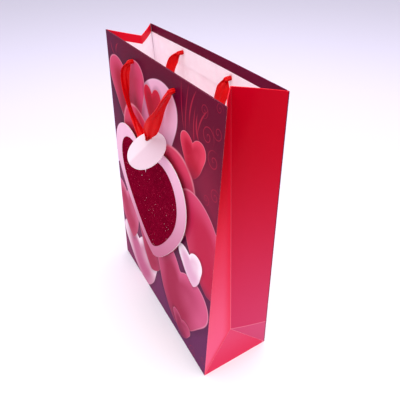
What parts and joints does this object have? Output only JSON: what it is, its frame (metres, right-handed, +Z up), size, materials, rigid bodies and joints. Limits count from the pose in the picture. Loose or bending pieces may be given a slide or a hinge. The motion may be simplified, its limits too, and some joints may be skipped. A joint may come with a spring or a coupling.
{
  "type": "gift bag",
  "caption": "Folded card gift bag with gusseted sides, satin ribbon handles, a plain round hang tag and a raised glitter heart on the front.",
  "frame": {"origin": "centre of the base, on the surface it stands on", "axes": "+X to the right along the front panel's width, front panel faces -Y, +Z up"},
  "size_m": [0.3056, 0.1408, 0.4194],
  "materials": {
    "printed_card": "satin",
    "gusset_card": "satin",
    "plain_card": "matte",
    "greyboard": "matte",
    "satin_ribbon": "satin",
    "foam": "matte",
    "pink_card": "satin",
    "glitter_card": "glitter",
    "tag_card": "satin"
  },
  "bodies": {
    "base": {"bottom_front_flap": "plain_card", "bottom_back_flap": "plain_card", "bottom_left_tuck": "plain_card", "bottom_right_tuck": "plain_card", "bottom_board": "greyboard"},
    "front_wall": {"front_panel": "printed_card", "front_hem": "plain_card", "front_stiffener": "greyboard", "front_ribbon_knots": "satin_ribbon", "heart_foam_pads": "foam", "heart_card": "pink_card", "glitter_heart": "glitter_card"},
    "back_wall": {"back_panel": "printed_card", "back_hem": "plain_card", "back_stiffener": "greyboard", "back_ribbon_knots": "satin_ribbon"},
    "gusset_front_right": {"gusset_front_right": "gusset_card", "gusset_hem_front_right": "plain_card"},
    "gusset_back_right": {"gusset_back_right": "gusset_card", "gusset_hem_back_right": "plain_card"},
    "gusset_front_left": {"gusset_front_left": "gusset_card", "gusset_hem_front_left": "plain_card"},
    "gusset_back_left": {"gusset_back_left": "gusset_card", "gusset_hem_back_left": "plain_card"},
    "triangle_right": {"base_triangle_right": "gusset_card"},
    "triangle_left": {"base_triangle_left": "gusset_card"},
    "front_handle": {"front_handle": "satin_ribbon"},
    "back_handle": {"back_handle": "satin_ribbon"},
    "tag": {"tag": "tag_card"}
  },
  "joints": [
    {"name": "mouth_fold", "type": "hinge", "parent": "base", "child": "front_wall", "pos_m": [0, -0.056, 0], "axis": [-1, 0, 0], "range_deg": [-0.8, 2]},
    {"name": "back_fold", "type": "hinge", "parent": "base", "child": "back_wall", "pos_m": [0, 0.056, 0], "axis": [1, 0, 0], "range_deg": [-0.8, 2]},
    {"name": "gusset_fold_front_right", "type": "hinge", "parent": "front_wall", "child": "gusset_front_right", "pos_m": [0.1525, -0.05535, 0], "axis": [0, 0.0523, 0.9986], "range_deg": [-7.36, 18.4]},
    {"name": "gusset_fold_back_right", "type": "hinge", "parent": "back_wall", "child": "gusset_back_right", "pos_m": [0.1525, 0.05535, 0], "axis": [0, 0.0523, -0.9986], "range_deg": [-7.36, 18.4]},
    {"name": "gusset_fold_front_left", "type": "hinge", "parent": "front_wall", "child": "gusset_front_left", "pos_m": [-0.1525, -0.05535, 0], "axis": [0, -0.0523, -0.9986], "range_deg": [-7.36, 18.4]},
    {"name": "gusset_fold_back_left", "type": "hinge", "parent": "back_wall", "child": "gusset_back_left", "pos_m": [-0.1525, 0.05535, 0], "axis": [0, -0.0523, 0.9986], "range_deg": [-7.36, 18.4]},
    {"name": "base_fold_right", "type": "hinge", "parent": "base", "child": "triangle_right", "pos_m": [0.1525, 0, 0], "axis": [0, -1, 0], "range_deg": [-1.92, 4.8]},
    {"name": "base_fold_left", "type": "hinge", "parent": "base", "child": "triangle_left", "pos_m": [-0.1525, 0, 0], "axis": [0, 1, 0], "range_deg": [-1.92, 4.8]},
    {"name": "front_handle_swing", "type": "hinge", "parent": "front_wall", "child": "front_handle", "pos_m": [0, -0.0405, 0.401], "axis": [-1, 0, 0], "range_deg": [0, 130]},
    {"name": "back_handle_swing", "type": "hinge", "parent": "back_wall", "child": "back_handle", "pos_m": [0, 0.0288, 0.401], "axis": [-1, 0, 0], "range_deg": [0, 130]},
    {"name": "tag_tilt", "type": "hinge", "parent": "front_handle", "child": "tag", "pos_m": [0.016, -0.054, 0.332], "axis": [0.9744, 0.225, 0], "range_deg": [-10, 35]}
  ],
  "couplings": [
    {"joint": "back_fold", "follows": "mouth_fold", "ratio": 1},
    {"joint": "gusset_fold_front_right", "follows": "mouth_fold", "ratio": 9.2},
    {"joint": "gusset_fold_back_right", "follows": "mouth_fold", "ratio": 9.2},
    {"joint": "gusset_fold_front_left", "follows": "mouth_fold", "ratio": 9.2},
    {"joint": "gusset_fold_back_left", "follows": "mouth_fold", "ratio": 9.2},
    {"joint": "base_fold_right", "follows": "mouth_fold", "ratio": 2.4},
    {"joint": "base_fold_left", "follows": "mouth_fold", "ratio": 2.4}
  ]
}
